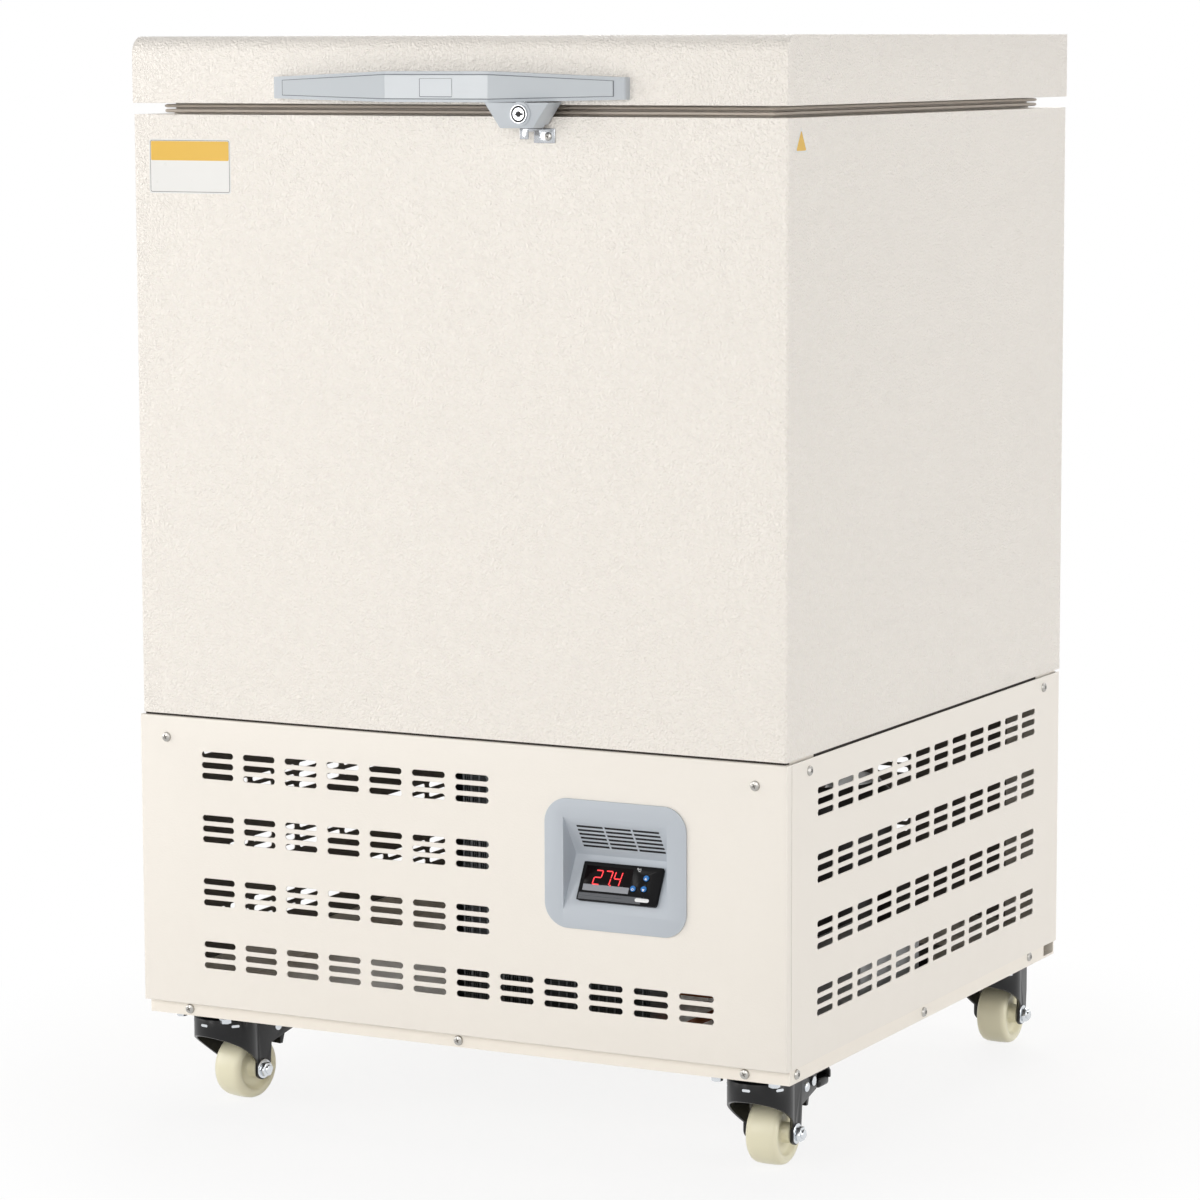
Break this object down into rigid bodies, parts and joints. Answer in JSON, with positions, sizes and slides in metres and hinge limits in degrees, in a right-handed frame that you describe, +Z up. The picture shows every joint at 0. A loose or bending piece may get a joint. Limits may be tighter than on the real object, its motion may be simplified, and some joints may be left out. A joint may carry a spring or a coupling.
{
  "type": "chest ultra low temperature freezer",
  "caption": "Upright-proportioned chest freezer for ultra low temperatures: hinged insulated lid with handle and lock, slotted machine base with controller, swivel casters.",
  "frame": {"origin": "on the floor, under the middle of the cabinet", "axes": "+Z up, the front with the handle and controller faces -Y, +X to the right seen from the front"},
  "size_m": [0.6475, 0.6699, 0.9701],
  "materials": {
    "white_enamel": "warm white enamel, satin",
    "panel_enamel": "embossed warm white enamel, satin",
    "chassis_paint": "warm white enamel, satin",
    "foam": "polyurethane foam",
    "tank_steel": "brushed stainless steel",
    "copper": "copper tube",
    "white_plastic": "white plastic",
    "grey_plastic": "light grey plastic, fine grain",
    "seal_rubber": "brown-grey seal",
    "bright_steel": "bright plated steel",
    "hinge_paint": "warm white enamel",
    "black_plastic": "black plastic",
    "display_plastic": "dark red tinted window",
    "button_blue": "blue plastic",
    "fin_aluminium": "mill finish",
    "black_paint": "black paint",
    "fan_plastic": "black plastic",
    "mount_rubber": "black rubber",
    "box_paint": "light grey paint",
    "fork_steel": "black gloss paint",
    "wheel_nylon": "cream nylon"
  },
  "bodies": {
    "cabinet": {"cabinet_shell": "white_enamel", "front_panel": "panel_enamel", "left_panel": "panel_enamel", "right_panel": "panel_enamel", "rear_panel": "panel_enamel", "base_tray": "chassis_paint", "rear_rail": "chassis_paint", "corner_posts": "chassis_paint", "cabinet_insulation": "foam", "inner_tank": "tank_steel", "evaporator_coil": "copper", "refrigerant_pipes": "copper", "filter_drier": "copper", "mouth_frame": "white_plastic", "control_bezel": "grey_plastic", "strike_plate": "bright_steel", "hinge_pins": "bright_steel", "caster_plates": "bright_steel", "hinge_bases": "hinge_paint", "controller_case": "black_plastic", "power_switch_frame": "black_plastic", "power_inlet": "black_plastic", "display_window": "display_plastic", "condenser": "fin_aluminium", "fan_motor": "fin_aluminium", "fan_shroud": "black_paint", "compressor": "black_paint", "compressor_mounts": "mount_rubber", "electrical_box": "box_paint"},
    "lid": {"lid_skin": "white_enamel", "lid_insulation": "foam", "lid_liner": "white_plastic", "lid_gasket": "seal_rubber", "handle_body": "grey_plastic", "handle_fascia": "grey_plastic", "lock_housing": "grey_plastic", "hinge_arms": "hinge_paint"},
    "lock": {"lock_plug": "bright_steel", "lock_cam": "bright_steel"},
    "button_up": {"button_up": "button_blue"},
    "button_set": {"button_set": "button_blue"},
    "button_down": {"button_down": "button_blue"},
    "power_rocker": {"power_rocker": "black_plastic"},
    "fan_rotor": {"fan_rotor": "fan_plastic"},
    "caster_front_left": {"fork_front_left": "fork_steel", "axle_front_left": "bright_steel"},
    "wheel_front_left": {"wheel_front_left": "wheel_nylon"},
    "brake_pedal_front_left": {"brake_pedal_front_left": "bright_steel"},
    "caster_front_right": {"fork_front_right": "fork_steel", "axle_front_right": "bright_steel"},
    "wheel_front_right": {"wheel_front_right": "wheel_nylon"},
    "brake_pedal_front_right": {"brake_pedal_front_right": "bright_steel"},
    "caster_rear_left": {"fork_rear_left": "fork_steel", "axle_rear_left": "bright_steel"},
    "wheel_rear_left": {"wheel_rear_left": "wheel_nylon"},
    "caster_rear_right": {"fork_rear_right": "fork_steel", "axle_rear_right": "bright_steel"},
    "wheel_rear_right": {"wheel_rear_right": "wheel_nylon"}
  },
  "joints": [
    {"name": "lid_hinge", "type": "hinge", "parent": "cabinet", "child": "lid", "pos_m": [0, 0.322, 0.9065], "axis": [-1, 0, 0], "range_deg": [0, 85]},
    {"name": "lock_turn", "type": "hinge", "parent": "lid", "child": "lock", "pos_m": [0.0845, -0.3182, 0.9045], "axis": [0, -1, 0], "range_deg": [0, 90]},
    {"name": "power_switch", "type": "hinge", "parent": "cabinet", "child": "power_rocker", "pos_m": [-0.3213, -0.29215, 0.2665], "axis": [0, 1, 0], "range_deg": [-14, 0]},
    {"name": "fan_spin", "type": "hinge", "parent": "cabinet", "child": "fan_rotor", "pos_m": [0.039, -0.15, 0.209], "axis": [0, 1, 0], "continuous": true},
    {"name": "button_up_press", "type": "slide", "parent": "cabinet", "child": "button_up", "axis": [0, 0.8824, -0.4706], "range_m": [0, 0.0008], "stiffness_N_per_m": 800, "springref_m": -0.0005},
    {"name": "button_set_press", "type": "slide", "parent": "cabinet", "child": "button_set", "axis": [0, 0.8824, -0.4706], "range_m": [0, 0.0008], "stiffness_N_per_m": 800, "springref_m": -0.0005},
    {"name": "button_down_press", "type": "slide", "parent": "cabinet", "child": "button_down", "axis": [0, 0.8824, -0.4706], "range_m": [0, 0.0008], "stiffness_N_per_m": 800, "springref_m": -0.0005},
    {"name": "swivel_front_left", "type": "hinge", "parent": "cabinet", "child": "caster_front_left", "pos_m": [-0.271, -0.256, 0.082], "axis": [0, 0, 1], "continuous": true},
    {"name": "roll_front_left", "type": "hinge", "parent": "caster_front_left", "child": "wheel_front_left", "pos_m": [-0.26649, -0.23039, 0.029], "axis": [0.9848, -0.1736, 0], "continuous": true},
    {"name": "brake_front_left", "type": "hinge", "parent": "caster_front_left", "child": "brake_pedal_front_left", "pos_m": [-0.26058, -0.19691, 0.068], "axis": [-0.9848, 0.1736, 0], "range_deg": [0, 22]},
    {"name": "swivel_front_right", "type": "hinge", "parent": "cabinet", "child": "caster_front_right", "pos_m": [0.271, -0.256, 0.082], "axis": [0, 0, 1], "continuous": true},
    {"name": "roll_front_right", "type": "hinge", "parent": "caster_front_right", "child": "wheel_front_right", "pos_m": [0.271, -0.23, 0.029], "axis": [1, 0, 0], "continuous": true},
    {"name": "brake_front_right", "type": "hinge", "parent": "caster_front_right", "child": "brake_pedal_front_right", "pos_m": [0.271, -0.196, 0.068], "axis": [-1, 0, 0], "range_deg": [0, 22]},
    {"name": "swivel_rear_left", "type": "hinge", "parent": "cabinet", "child": "caster_rear_left", "pos_m": [-0.271, 0.262, 0.082], "axis": [0, 0, 1], "continuous": true},
    {"name": "roll_rear_left", "type": "hinge", "parent": "caster_rear_left", "child": "wheel_rear_left", "pos_m": [-0.271, 0.288, 0.029], "axis": [1, 0, 0], "continuous": true},
    {"name": "swivel_rear_right", "type": "hinge", "parent": "cabinet", "child": "caster_rear_right", "pos_m": [0.271, 0.262, 0.082], "axis": [0, 0, 1], "continuous": true},
    {"name": "roll_rear_right", "type": "hinge", "parent": "caster_rear_right", "child": "wheel_rear_right", "pos_m": [0.271, 0.288, 0.029], "axis": [1, 0, 0], "continuous": true}
  ]
}
